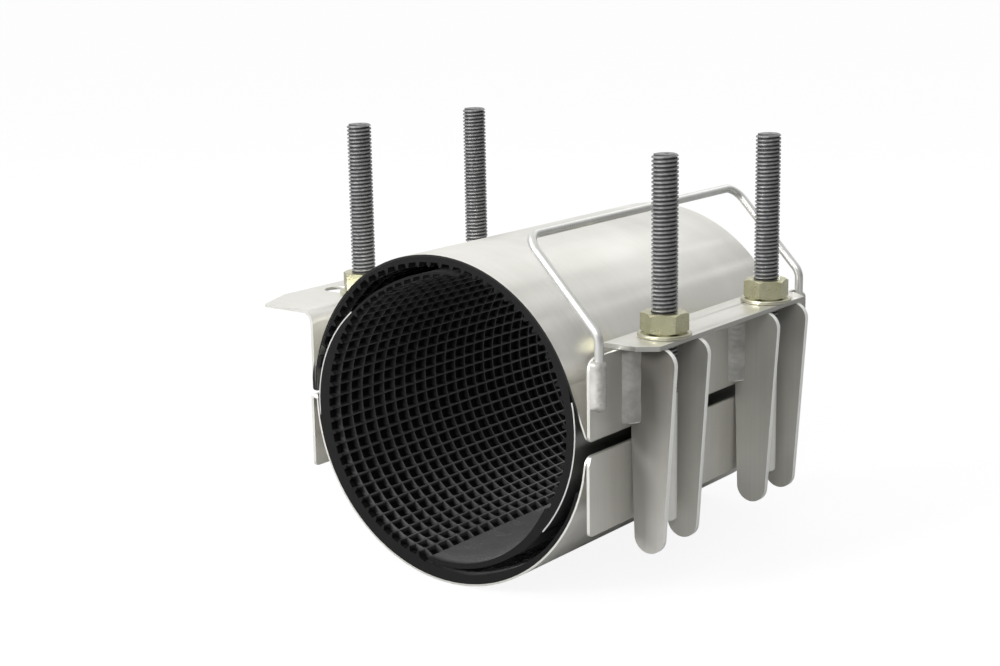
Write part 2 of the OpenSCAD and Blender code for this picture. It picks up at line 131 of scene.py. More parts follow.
# One turn of the thread: share of the pitch, and how deep in the groove from 0 to 1
THREAD_PROFILE = ((0.0, 0.0), (0.36, 0.0), (0.60, 1.0), (0.76, 1.0))
# Height where the studs' plain shanks end, and the bevel of their ends: width and slope
SHANK_TOP = 20.0
STUD_END = 1.0
STUD_END_SLOPE = 1.3
# How much painted shade the bevelled ends of the thread get, where 1 is the groove's
STUD_END_SHADE = 0.3

# Weld beads in millimetres: width on the lug, height on the plate or stud, and heights they span
FINGER_WELD = (7.6, 5.3, (6.6, 44.2))
STUD_WELD = (5.4, 4.8)
STUD_WELD_OUT = 4.2
STUD_WELD_RIGHT = (-38.5, -6.0)
STUD_WELD_LEFT = (-34.0, -1.5)
# The bail's welds: distance from the coupling's ends, half width, height, and heights they span
BAIL_WELD_IN = 4.1
BAIL_WELD = (4.3, 5.3, (20.4, 43.2))
# How far every weld reaches into what it holds, the length of its rounded ends, the distance
# between its rings of points, and how often along it its fullness is drawn anew
WELD_ROOT = 0.3
WELD_END = 2.4
WELD_STEP = 0.4
WELD_DRAWS = 9
# Beads: points across, most fullness, crown, roughness, and how far the ripples' middle leads
BEAD_POINTS = 13
BEAD_FULL = 1.08
BEAD_CROWN = 0.45
BEAD_ROUGH = 0.05
BEAD_LEAD = 3.2
# The bail's heaps: points across, most fullness, lowest and highest roughness, and their ragged
# foot: how far down and up it reaches, how often across it is drawn, and where it fades out
HEAP_POINTS = 17
HEAP_FULL = 1.06
HEAP_ROUGH = (-0.18, 0.28)
HEAP_FOOT = (-2.6, 1.4)
HEAP_FOOT_DRAWS = 7
HEAP_FOOT_FADE = 8.0

# Width of the broken edges of nuts, washers, bar and fingers in metres, and of the bridge
# plates as a share of the shells' own
NUT_EDGE = 0.00025
WASHER_EDGE = 0.0005
BAR_EDGE = 0.0004
FINGER_EDGE = 0.0005
PLATE_EDGE_SHARE = 0.6

# Steel finishes: tones of the brush lines, roughness, the axes across which the lines are fine,
# and the share of metal. The other keys and rim are explained at brushed_steel, with the painted
# shade and highlights that they give
STEELS = {
    # Bridge plates: their broad faces take the dark second tone, painted shade of the deep gap
    # between the lugs; their ends keep the steel's tones
    "plate_steel": {
        "light": (0.85, 0.85, 0.83), "dark": (0.75, 0.75, 0.73), "roughness": 0.30,
        "across": "Y", "metallic": 0.9, "cut": "Y", "cut_tone": (0.16, 0.16, 0.155),
    },
    "bar_steel": {
        "light": (0.78, 0.77, 0.73), "dark": (0.66, 0.65, 0.61), "roughness": 0.36,
        "across": "X", "metallic": 0.8, "cut": "Z", "cut_tone": (0.40, 0.395, 0.37),
    },
    # Front outer finger: darker tones, painted shade towards the top, and a light second tone on
    # its edges, a painted highlight
    "finger_steel": {
        "light": (0.44, 0.43, 0.40), "dark": (0.37, 0.36, 0.335), "roughness": 0.50,
        "across": "X", "metallic": 0.30, "cut": "Y", "cut_tone": (0.88, 0.88, 0.85),
        "top_shade_heights": (-0.050, 0.038),
    },
    # Other fingers: lighter tones, painted light against the shade that falls on them, weaker
    # painted shade towards the top, and the same painted highlight on the edges
    "lightened_finger_steel": {
        "light": (0.66, 0.65, 0.60), "dark": (0.57, 0.56, 0.52), "roughness": 0.45,
        "across": "X", "metallic": 0.30, "cut": "Y", "cut_tone": (0.88, 0.88, 0.85),
        "top_shade_heights": (-0.030, 0.150),
    },
    "wire_steel": {
        "light": (0.78, 0.78, 0.76), "dark": (0.62, 0.62, 0.60), "roughness": 0.30,
        "across": "XY", "metallic": 0.9,
    },
}
# Tone of the painted shade at the fingers' tops, under the bar
TOP_SHADE_TONE = (0.30, 0.29, 0.27)
RUBBER_SHADE = (0.030, 0.030, 0.029)
# Radius in metres within which the ends of the upper shell lie in the shade of its rubber
UPPER_RIM = 0.0846
WASHER_LIGHT = (0.58, 0.57, 0.46)
WASHER_DARK = (0.42, 0.41, 0.31)

# Floor: half its side and its distance under the part in metres, its tone in the light it sends
# on and for the camera, and the share of plain white that the camera sees
FLOOR_SIZE = 30.0
FLOOR_DROP = 0.0005
FLOOR_TONE = (0.40, 0.40, 0.40)
FLOOR_SEEN = (0.95, 0.95, 0.95)
FLOOR_GLOW = 0.90
# Surround: where it is brightest, and its level as the direction turns towards that
SKY_BRIGHT = (-0.48, 0.12, 0.82)
SKY_TURN = (-0.45, 0.75)
SKY_LEVEL = (0.16, 1.03)
# Lamps, all aimed at the pipe's middle: place and side in metres, power in watts
LAMPS = {
    "key": ((-0.9, -0.8, 1.5), 1.0, 6.0),
    "bore": ((-0.45, -1.5, 0.75), 0.5, 30.0),
    "fill": ((0.75, -1.25, 1.10), 0.7, 5.5),
    "rim": ((-0.05, 1.3, 0.95), 0.8, 1.3),
}
# Width of the camera's sensor in millimetres, and of the picture that gave its lens in pixels
SENSOR = 36.0
PICTURE = 1000.0


def smooth_by_angle(mesh, degrees):
    """Smooth shading, with edges sharper than the angle left sharp."""
    mesh.shade_smooth()
    mesh.set_sharp_from_angle(angle=math.radians(degrees))


def join_points(mesh, distance):
    """Merges points that lie on each other, and turns all faces outwards."""
    work = bmesh.new()
    work.from_mesh(mesh)
    bmesh.ops.remove_doubles(work, verts=work.verts, dist=distance)
    bmesh.ops.dissolve_degenerate(work, dist=distance, edges=work.edges)
    bmesh.ops.recalc_face_normals(work, faces=work.faces)
    work.to_mesh(mesh)
    work.free()


def make_piece(name, points, faces, material, node, angle, marks=None, distance=1e-6):
    """A new mesh piece with the body of a node, from points in millimetres. marks is
    the name and the values of a number that the material reads at each point."""
    mesh = bpy.data.meshes.new(name)
    mesh.from_pydata([tuple(p) for p in np.asarray(points, float) * MM], [], faces)
    mesh.validate()
    mesh.update()
    if marks:
        layer = mesh.attributes.new(marks[0], "FLOAT", "POINT")
        layer.data.foreach_set("value", np.array(marks[1], np.float32))
    join_points(mesh, distance)
    smooth_by_angle(mesh, angle)
    mesh.materials.append(material)
    piece = bpy.data.objects.new(name, mesh)
    bpy.context.scene.collection.objects.link(piece)
    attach(piece, BODY_OF[node])
    return piece


def dress_node(node, material, bevel, angle=30.0):
    """Gives a CAD node its finish and breaks its sharp edges."""
    piece = NODES[node]
    piece.data.materials.clear()
    piece.data.materials.append(material)
    join = piece.modifiers.new("join", "WELD")
    join.merge_threshold = 2e-6
    if bevel > 0:
        edge = piece.modifiers.new("edge", "BEVEL")
        edge.width = bevel
        edge.segments = 2
        edge.limit_method = "ANGLE"
        edge.angle_limit = math.radians(angle)
        edge.harden_normals = True


def node_tree(name):
    """A new material's tree, its shader and its object coordinates."""
    material = bpy.data.materials.new(name)
    material.use_nodes = True
    tree = material.node_tree
    shader = tree.nodes["Principled BSDF"]
    coordinates = tree.nodes.new("ShaderNodeTexCoord")
    return material, tree, shader, coordinates.outputs["Object"]


def noise(tree, place, scale, detail):
    """Noise from 0 to 1. scale is one number, or three to draw the noise out along an axis."""
    stretch = tree.nodes.new("ShaderNodeMapping")
    stretch.inputs["Scale"].default_value = (scale,) * 3 if isinstance(scale, float) else scale
    tree.links.new(place, stretch.inputs["Vector"])
    texture = tree.nodes.new("ShaderNodeTexNoise")
    texture.inputs["Scale"].default_value = 1.0
    texture.inputs["Detail"].default_value = detail
    texture.inputs["Roughness"].default_value = 0.6
    tree.links.new(stretch.outputs["Vector"], texture.inputs["Vector"])
    return texture.outputs["Fac"]


def ramp(tree, value, low, high, start=0.3, end=0.7):
    """Goes from the colour low to the colour high as a value goes from start to end."""
    node = tree.nodes.new("ShaderNodeValToRGB")
    for element, position, colour in zip(node.color_ramp.elements, (start, end), (low, high)):
        element.position = position
        element.color = (*colour, 1.0)
    tree.links.new(value, node.inputs["Fac"])
    return node.outputs["Color"]


def to_range(tree, value, low, high, start=0.3, end=0.7):
    """Goes from the number low to the number high as a value goes from start to end."""
    node = tree.nodes.new("ShaderNodeMapRange")
    node.inputs["From Min"].default_value = start
    node.inputs["From Max"].default_value = end
    node.inputs["To Min"].default_value = low
    node.inputs["To Max"].default_value = high
    tree.links.new(value, node.inputs["Value"])
    return node.outputs["Result"]


def math_node(tree, operation, a, b):
    """A math node; a and b are sockets or numbers."""
    node = tree.nodes.new("ShaderNodeMath")
    node.operation = operation
    for socket, value in zip(node.inputs, (a, b)):
        if isinstance(value, (int, float)):
            socket.default_value = value
        else:
            tree.links.new(value, socket)
    return node.outputs["Value"]


def mix_colour(tree, share, a, b, blend="MIX"):
    """Mixes two colours, given as sockets or values."""
    node = tree.nodes.new("ShaderNodeMix")
    node.data_type = "RGBA"
    node.blend_type = blend
    for index, value in ((0, share), (6, a), (7, b)):
        socket = node.inputs[index]
        if isinstance(value, bpy.types.NodeSocket):
            tree.links.new(value, socket)
        elif isinstance(value, (int, float)):
            socket.default_value = value
        else:
            socket.default_value = (*value, 1.0)
    return node.outputs[2]


def add_bump(tree, shader, height, strength, distance):
    """Bump from a height, on the shader's normal."""
    bump = tree.nodes.new("ShaderNodeBump")
    bump.inputs["Strength"].default_value = strength
    bump.inputs["Distance"].default_value = distance
    tree.links.new(height, bump.inputs["Height"])
    tree.links.new(bump.outputs["Normal"], shader.inputs["Normal"])


def component(tree, vector, axis):
    """One component of a vector."""
    split = tree.nodes.new("ShaderNodeSeparateXYZ")
    tree.links.new(vector, split.inputs["Vector"])
    return split.outputs[axis]


def facing(tree, axis, start, end):
    """0 where a surface faces less than start along an axis of the object, 1 beyond end."""
    normal = tree.nodes.new("ShaderNodeTexCoord").outputs["Normal"]
    square = math_node(tree, "ABSOLUTE", component(tree, normal, axis), 0.0)
    return to_range(tree, square, 0.0, 1.0, start, end)


def attribute(tree, name):
    """A number that a piece holds at each point."""
    node = tree.nodes.new("ShaderNodeAttribute")
    node.attribute_name = name
    return node.outputs["Fac"]


def pipe_radius(tree, place):
    """Distance from the pipe's axis."""
    flat = tree.nodes.new("ShaderNodeVectorMath")
    flat.operation = "MULTIPLY"
    flat.inputs[1].default_value = (1.0, 0.0, 1.0)
    tree.links.new(place, flat.inputs[0])
    size = tree.nodes.new("ShaderNodeVectorMath")
    size.operation = "LENGTH"
    tree.links.new(flat.outputs["Vector"], size.inputs[0])
    return size.outputs["Value"]


def brushed_steel(name, light, dark, roughness, across, metallic, cut=None, cut_tone=None,
                  top_shade_heights=None, rim=None):
    """Satin stainless steel: brush lines that are fine across the named axes and long along the
    others, with soft cloudy patches. An axis may be named along which the sheet's faces look;
    surfaces that look elsewhere then take a second tone: painted shade on the bridge plates'
    broad faces, a painted highlight on the fingers' edges, and darker sides on the bar. Two
    heights in metres may be given, where painted shade towards the top begins and where it is
    full. rim is the radius about the pipe's axis, in metres, within which the sheet's ends lie
    in the rubber's shade, painted in a dark tone."""
    material, tree, shader, place = node_tree(name)
    fine = noise(tree, place, [700.0 if axis in across else 12.0 for axis in "XYZ"], 3.0)
    broad = noise(tree, place, [60.0 if axis in across else 6.0 for axis in "XYZ"], 4.0)
    tone = math_node(tree, "ADD", math_node(tree, "MULTIPLY", fine, 0.4),
                     math_node(tree, "MULTIPLY", broad, 0.6))
    colour = ramp(tree, tone, dark, light, 0.3, 0.72)
    patches = ramp(tree, noise(tree, place, 18.0, 3.0), (0.90, 0.90, 0.89), (1.0, 1.0, 1.0))
    colour = mix_colour(tree, 1.0, colour, patches, "MULTIPLY")
    # Painted shade: darker towards the top, between the two heights
    if top_shade_heights:
        lighter = to_range(tree, component(tree, place, "Z"), 1.0, 0.0, *top_shade_heights)
        shade = mix_colour(tree, lighter, TOP_SHADE_TONE, (1.0, 1.0, 1.0))
        colour = mix_colour(tree, 1.0, colour, shade, "MULTIPLY")
    # Second tone where surfaces look away from the axis: painted shade on the bridge plates' broad
    # faces, painted highlight on the fingers' edges, darker sides on the bar
    if cut:
        colour = mix_colour(tree, facing(tree, cut, 0.45, 0.85), cut_tone, colour)
    if rim:
        inside = to_range(tree, pipe_radius(tree, place), 1.0, 0.0, rim, rim + 0.0004)
        shaded = math_node(tree, "MULTIPLY", inside, facing(tree, "Y", 0.35, 0.75))
        colour = mix_colour(tree, shaded, colour, RUBBER_SHADE)
    tree.links.new(colour, shader.inputs["Base Color"])
    tree.links.new(to_range(tree, tone, roughness - 0.05, roughness + 0.08),
                   shader.inputs["Roughness"])
    shader.inputs["Metallic"].default_value = metallic
    add_bump(tree, shader, tone, 0.10, 0.0002)
    return material


def rubber():
    """Moulded black rubber: dull and near black down in the pockets, a painted shade, and
    polished and lighter on the crests, a painted highlight.
    """
    material, tree, shader, place = node_tree("gasket_rubber")
    polish_and_painted_light = attribute(tree, "polish_and_painted_light")
    bloom = noise(tree, place, 45.0, 5.0)
    crest = ramp(tree, bloom, (0.060, 0.060, 0.062), (0.095, 0.095, 0.095), 0.30, 0.75)
    # Painted shade: near black in the pockets; painted highlight: lighter on the crests
    tree.links.new(mix_colour(tree, polish_and_painted_light, (0.003, 0.003, 0.003), crest),
                   shader.inputs["Base Color"])
    pocket = 0.62
    polish = math_node(tree, "SUBTRACT", pocket, to_range(tree, bloom, 0.22, 0.30))
    tree.links.new(math_node(tree, "SUBTRACT", pocket, math_node(tree, "MULTIPLY", polish_and_painted_light, polish)),
                   shader.inputs["Roughness"])
    tree.links.new(to_range(tree, polish_and_painted_light, 0.10, 0.36, 0.0, 1.0),
                   shader.inputs["Specular IOR Level"])
    shader.inputs["Sheen Weight"].default_value = 0.10
    shader.inputs["Sheen Roughness"].default_value = 0.30
    add_bump(tree, shader, noise(tree, place, 900.0, 2.0), 0.10, 0.0002)
    return material


def thread_steel():
    """Grey coated studs, with painted shade down in the thread, and light plain shanks at the lugs
    that are partly painted light against the shade between the fingers.
    """
    material, tree, shader, place = node_tree("stud_steel")
    grain = noise(tree, place, 500.0, 3.0)
    ridge = ramp(tree, grain, (0.20, 0.20, 0.203), (0.32, 0.32, 0.323))
    # Painted shade: darker down in the grooves
    thread = mix_colour(tree, attribute(tree, "groove_shade"), ridge, (0.060, 0.060, 0.062))
    # Plain shanks: a light tone, partly the shank's own and partly painted light against the shade
    # between the fingers
    shank = to_range(tree, component(tree, place, "Z"), 1.0, 0.0,
                     (SHANK_TOP - 0.6) * MM, SHANK_TOP * MM)
    tree.links.new(mix_colour(tree, shank, thread, (0.80, 0.79, 0.76)),
                   shader.inputs["Base Color"])
    tree.links.new(to_range(tree, grain, 0.38, 0.55), shader.inputs["Roughness"])
    shader.inputs["Metallic"].default_value = 0.7
    add_bump(tree, shader, grain, 0.08, 0.0001)
    return material


def zinc(name, light, dark, roughness):
    """Pale gold passivated zinc in soft clouds of two tones."""
    material, tree, shader, place = node_tree(name)
    tree.links.new(ramp(tree, noise(tree, place, 90.0, 2.0), dark, light),
                   shader.inputs["Base Color"])
    tree.links.new(to_range(tree, noise(tree, place, 250.0, 1.0), roughness - 0.02,
                            roughness + 0.04), shader.inputs["Roughness"])
    shader.inputs["Metallic"].default_value = 0.95
    return material


def weld_metal():
    """Dull cleaned weld with fine spatter."""
    material, tree, shader, place = node_tree("weld_metal")
    grain = noise(tree, place, 420.0, 4.0)
    cloud = noise(tree, place, 90.0, 3.0)
    tree.links.new(ramp(tree, cloud, (0.36, 0.355, 0.33), (0.56, 0.55, 0.52)),
                   shader.inputs["Base Color"])
    tree.links.new(to_range(tree, grain, 0.45, 0.65), shader.inputs["Roughness"])
    shader.inputs["Metallic"].default_value = 0.6
    add_bump(tree, shader, grain, 0.35, 0.0004)
    return material


def rib_lines(start, end, pitch, crest, slope, sunk_ends):
    """Places and heights (1 crest, 0 floor) of the lines that draw a row of ribs. With
    sunk_ends the row goes down to the floor outside its first and last rib."""
    count = max(1, round((end - start) / pitch))
    pitch = (end - start) / count
    lines = []
    for i in range(count + 1):
        middle = start + i * pitch
        if i > 0 or sunk_ends:
            lines.append((middle - crest - slope, 0.0))
        lines += [(middle - crest, CREST_SHOULDER), (middle - 0.5 * crest, 1.0),
                  (middle + 0.5 * crest, 1.0), (middle + crest, CREST_SHOULDER)]
        if i < count or sunk_ends:
            lines.append((middle + crest + slope, 0.0))
    return lines


def around_pipe(angle):
    """Direction from the pipe's axis at an angle in degrees."""
    return np.array([math.cos(math.radians(angle)), 0.0, math.sin(math.radians(angle))])


class ShellSettings(bpy.types.PropertyGroup):
    """Finish of the shells, and edges of the sheet."""
    light: FloatVectorProperty(
        name="Light tone", description="Brighter tone of the brushed sheet",
        subtype="COLOR", default=(0.80, 0.79, 0.75), min=0, max=1)
    dark: FloatVectorProperty(
        name="Dark tone", description="Darker tone of the brushed sheet",
        subtype="COLOR", default=(0.71, 0.70, 0.66), min=0, max=1)
    roughness: FloatProperty(
        name="Roughness", description="Roughness of the brushed sheet",
        subtype="FACTOR", default=0.42, min=0.1, max=0.9)
    edge: FloatProperty(
        name="Edge", description="Width of the broken edges of cut sheet",
        unit="LENGTH", default=0.00025, min=0.0, max=0.001)


class GasketSettings(bpy.types.PropertyGroup):
    """Pattern of the rubber's face."""
    rib_pitch: FloatProperty(
        name="Rib pitch", description="Angle between ribs that run along the pipe",
        subtype="ANGLE", default=math.radians(5.0))
    ring_pitch: FloatProperty(
        name="Ring pitch", description="Distance between ribs that run round the pipe",
        unit="LENGTH", default=0.0086)
    first_ring: FloatProperty(
        name="First ring", description="Distance from the ends to the first ring",
        unit="LENGTH", default=0.0055)
    depth: FloatProperty(
        name="Depth", description="Depth of the pockets between the ribs",
        unit="LENGTH", default=0.0024)
    crest: FloatProperty(
        name="Crest", description="Half the width of a rib's crest",
        unit="LENGTH", default=0.0005)
    slope: FloatProperty(
        name="Slope", description="Width of a rib's flank",
        unit="LENGTH", default=0.0007)


class HardwareSettings(bpy.types.PropertyGroup):
    """Threads of the studs, and tones of the nuts."""
    pitch: FloatProperty(
        name="Pitch", description="Pitch of the threads",
        unit="LENGTH", default=0.0254 / 13)
    depth: FloatProperty(
        name="Depth", description="Depth of the threads",
        unit="LENGTH", default=0.00095)
    sides: IntProperty(
        name="Sides", description="Facets round a thread",
        default=32, min=12, max=96)
    gold: FloatVectorProperty(
        name="Gold", description="Lighter tone of the nuts",
        subtype="COLOR", default=(0.54, 0.525, 0.36), min=0, max=1)
    olive: FloatVectorProperty(
        name="Olive", description="Darker tone of the nuts",
        subtype="COLOR", default=(0.42, 0.41, 0.26), min=0, max=1)


class WeldSettings(bpy.types.PropertyGroup):
    """Unevenness of the weld beads."""
    ripple: FloatProperty(
        name="Ripple", description="Distance between the ripples of a bead",
        unit="LENGTH", default=0.0030)
    swell: FloatProperty(
        name="Swell", description="How far a bead's ripples stand out",
        unit="LENGTH", default=0.00016, min=0.0, max=0.0005)
    seed: IntProperty(
        name="Seed", description="Seed of the beads' unevenness", default=7)


class StageSettings(bpy.types.PropertyGroup):
    """Camera of the photograph."""
    focal: FloatProperty(
        name="Focal length", description="Lens in pixels of a 1000 pixel wide picture",
        default=1775.0)
    place: FloatVectorProperty(
        name="Camera place", description="Where the camera stands",
        subtype="XYZ", unit="LENGTH", default=(0.5336, -0.7461, 0.2318))
    yaw: FloatProperty(
        name="Yaw", description="Turn of the camera from the pipe's direction",
        subtype="ANGLE", default=math.radians(37.47))
    pitch: FloatProperty(
        name="Pitch", description="How far the camera looks down",
        subtype="ANGLE", default=math.radians(12.55))
    roll: FloatProperty(
        name="Roll", description="Tilt of the camera about its own axis",
        subtype="ANGLE", default=math.radians(-0.96))


class COUPLING_OT_shells(bpy.types.Operator):
    """Finish the two shells and the bridge plates"""
    bl_idname = "coupling.shells"
    bl_label = "Shells and bridge plates"

    def execute(self, context):
        look = context.scene.coupling_shells
        finish = (look.light, look.dark, look.roughness, "Y", 0.92)
        dress_node("lower_shell", brushed_steel("shell_steel", *finish), look.edge)
        dress_node("upper_shell", brushed_steel("upper_shell_steel", *finish, rim=UPPER_RIM),
                   look.edge)
        plate = brushed_steel("plate_steel", **STEELS["plate_steel"])
        for node in ("lower_bridge_plate", "upper_bridge_plate"):
            dress_node(node, plate, look.edge * PLATE_EDGE_SHARE)
        return {"FINISHED"}


class COUPLING_OT_gaskets(bpy.types.Operator):
    """Make the two waffle faced gaskets"""
    bl_idname = "coupling.gaskets"
    bl_label = "Waffle gaskets"

    def execute(self, context):
        look = context.scene.coupling_gaskets
        material = rubber()
        for node, shape in GASKETS.items():
            self.gasket(look, node, shape, material)
        return {"FINISHED"}

    def gasket(self, look, node, shape, material):
        """A gasket as a closed mesh: ribbed face, plain back, toothed ends."""
        columns = self.columns(look, shape)
        rows = self.rows(look)
        back = self.cad_back(node, shape["ends"])
        angles, heights = zip(*shape["face"])
        points, polish_and_painted_light = [], []
        for angle, rib in columns:
            behind = back(angle)
            front = BORE + max(0.0, float(np.interp(angle, angles, heights)))
            front = min(front, behind - FACE_RUBBER)
            room = max(0.0, min(look.depth / MM, behind - front - POCKET_RUBBER))
            direction = around_pipe(angle)
            for y, ring in rows:
                height = max(rib, ring)
                radius = front + room * (1.0 - height)
                points.append(direction * radius + np.array([0.0, y, 0.0]))
                # Crests: polish and painted highlight; pockets: painted shade; backs and ends:
                # little of either
                polish_and_painted_light.append(height ** POLISH_AND_LIGHT_POWER if abs(y) < HALF_LENGTH else LEAST_POLISH_AND_LIGHT)
            for y, _ in rows:
                points.append(direction * behind + np.array([0.0, y, 0.0]))
                polish_and_painted_light.append(LEAST_POLISH_AND_LIGHT)
        piece = make_piece(node + "_waffle", points, self.faces(len(columns), len(rows)),
                           material, node, GASKET_SMOOTH, ("polish_and_painted_light", polish_and_painted_light))
        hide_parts(node)

    def columns(self, look, shape):
        """Angles of the columns of points, and how high the ribs along the pipe are there."""
        first, last = shape["ends"]
        across = math.degrees(look.crest / MM / BORE)
        flank = math.degrees(look.slope / MM / BORE)
        ribs = rib_lines(*shape["ribbed"], math.degrees(look.rib_pitch), across, flank, False)
        plain = [angle for angle in np.linspace(first, last, PLAIN_COLUMNS)
                 if angle < ribs[0][0] - COLUMN_GAP or angle > ribs[-1][0] + COLUMN_GAP]
        return sorted(ribs + [(angle, 1.0) for angle in [*plain, first, last]])

    def rows(self, look):
        """Places of the rows of points along the pipe, and how high the rings are there."""
        end = HALF_LENGTH - look.first_ring / MM
        rings = rib_lines(-end, end, look.ring_pitch / MM, look.crest / MM, look.slope / MM, True)
        return [(-HALF_LENGTH, 0.0), *rings, (HALF_LENGTH, 0.0)]

    def faces(self, columns, rows):
        """Faces over the columns, each of which holds its front row and then its back row."""
        faces = []
        for i in range(columns - 1):
            here, there = i * 2 * rows, (i + 1) * 2 * rows
            for j in range(rows - 1):
                faces.append((here + j, here + j + 1, there + j + 1, there + j))
                faces.append((here + rows + j, there + rows + j, there + rows + j + 1,
                              here + rows + j + 1))
            for j in (0, rows - 1):
                faces.append((here + j, there + j, there + rows + j, here + rows + j))
        for here in (0, (columns - 1) * 2 * rows):
            for j in range(rows - 1):
                faces.append((here + j, here + rows + j, here + rows + j + 1, here + j + 1))
        return faces

    def cad_back(self, node, ends):
        """Radius of the CAD gasket's back at an angle, by a ray from outside."""
        mesh = NODES[node].data
        tree = BVHTree.FromPolygons([v.co for v in mesh.vertices],
                                    [tuple(p.vertices) for p in mesh.polygons])
        inside, outside = 0.05, 0.2

        def radius(angle):
            angle = min(max(angle, ends[0] + inside), ends[1] - inside)
            direction = Vector(around_pipe(angle))
            return tree.ray_cast(direction * outside, -direction)[0].length / MM
        return radius


class COUPLING_OT_studs(bpy.types.Operator):
    """Cut the threads on the four studs"""
    bl_idname = "coupling.studs"
    bl_label = "Threaded studs"

    def execute(self, context):
        material = thread_steel()
        for place in STUDS:
            self.stud(context.scene.coupling_hardware, place, material)
        return {"FINISHED"}

    def stud(self, look, place, material):
        """A stud with a helical thread above a plain shank, from the CAD stud's box."""
        node = "stud_" + place
        nut_low, nut_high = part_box("nut_" + place)
        middle = (nut_low + nut_high) / 2 / MM
        bottom, top = (corner.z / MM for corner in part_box(node))
        pitch, depth, sides = look.pitch / MM, look.depth / MM, look.sides
        root = STUD_RADIUS - depth
        step = len(THREAD_PROFILE)
        # Two turns start below the stud and two end above it; both are cut off level
        rows = (int((top - bottom) / pitch) + 4) * step + 1
        points, groove_shade = [], []
        for row in range(rows):
            turn, part = divmod(row, step)
            share, deep = THREAD_PROFILE[part]
            for side in range(sides):
                angle = 2 * math.pi * side / sides
                z = bottom + (turn - 2 + share + side / sides) * pitch
                plain = z < SHANK_TOP
                bevel = STUD_RADIUS - STUD_END + STUD_END_SLOPE * min(z - bottom, top - z)
                r = max(0.0, min(STUD_RADIUS if plain else STUD_RADIUS - deep * depth, bevel))
                z = min(max(z, bottom), top)
                points.append((middle.x + r * math.cos(angle), middle.y + r * math.sin(angle), z))
                # Painted shade: full in the grooves, partly on the bevelled ends
                end = STUD_END_SHADE if r < root - 0.01 else deep
                groove_shade.append(0.0 if plain else end)
        faces = []
        for row in range(rows - 1):
            for side in range(sides):
                here = row * sides + side
                # The last side meets the first side of the next turn
                beside = here + 1 if side < sides - 1 else (row + step) * sides
                if beside + sides < len(points):
                    faces.append((here, beside, beside + sides, here + sides))
        piece = make_piece(node + "_threaded", points, faces, material, node, THREAD_SMOOTH,
                           ("groove_shade", groove_shade), 2e-5)
        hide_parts(node)


class COUPLING_OT_nuts(bpy.types.Operator):
    """Finish the nuts and washers"""
    bl_idname = "coupling.nuts"
    bl_label = "Nuts and washers"

    def execute(self, context):
        look = context.scene.coupling_hardware
        nut = zinc("nut_zinc", look.gold, look.olive, 0.28)
        washer = zinc("washer_zinc", WASHER_LIGHT, WASHER_DARK, 0.30)
        for place in STUDS:
            dress_node("nut_" + place, nut, NUT_EDGE, 20)
            dress_node("washer_" + place, washer, WASHER_EDGE)
        return {"FINISHED"}


class COUPLING_OT_plates(bpy.types.Operator):
    """Finish the closing bar and the fingers"""
    bl_idname = "coupling.plates"
    bl_label = "Closing bar and fingers"

    def execute(self, context):
        dress_node("closing_bar", brushed_steel("bar_steel", **STEELS["bar_steel"]), BAR_EDGE)
        # The front outer finger takes the darker copy; the others take the lighter copy, painted
        # light against their shade
        darker, lighter = (brushed_steel(name, **STEELS[name])
                          for name in ("finger_steel", "lightened_finger_steel"))
        for place in FINGERS:
            finish = darker if place == "front_outer" else lighter
            dress_node("finger_" + place, finish, FINGER_EDGE)
        return {"FINISHED"}


class COUPLING_OT_bail(bpy.types.Operator):
    """Finish the wire bail"""
    bl_idname = "coupling.bail"
    bl_label = "Wire bail"

    def execute(self, context):
        dress_node("bail_handle", brushed_steel("wire_steel", **STEELS["wire_steel"]), 0.0)
        return {"FINISHED"}


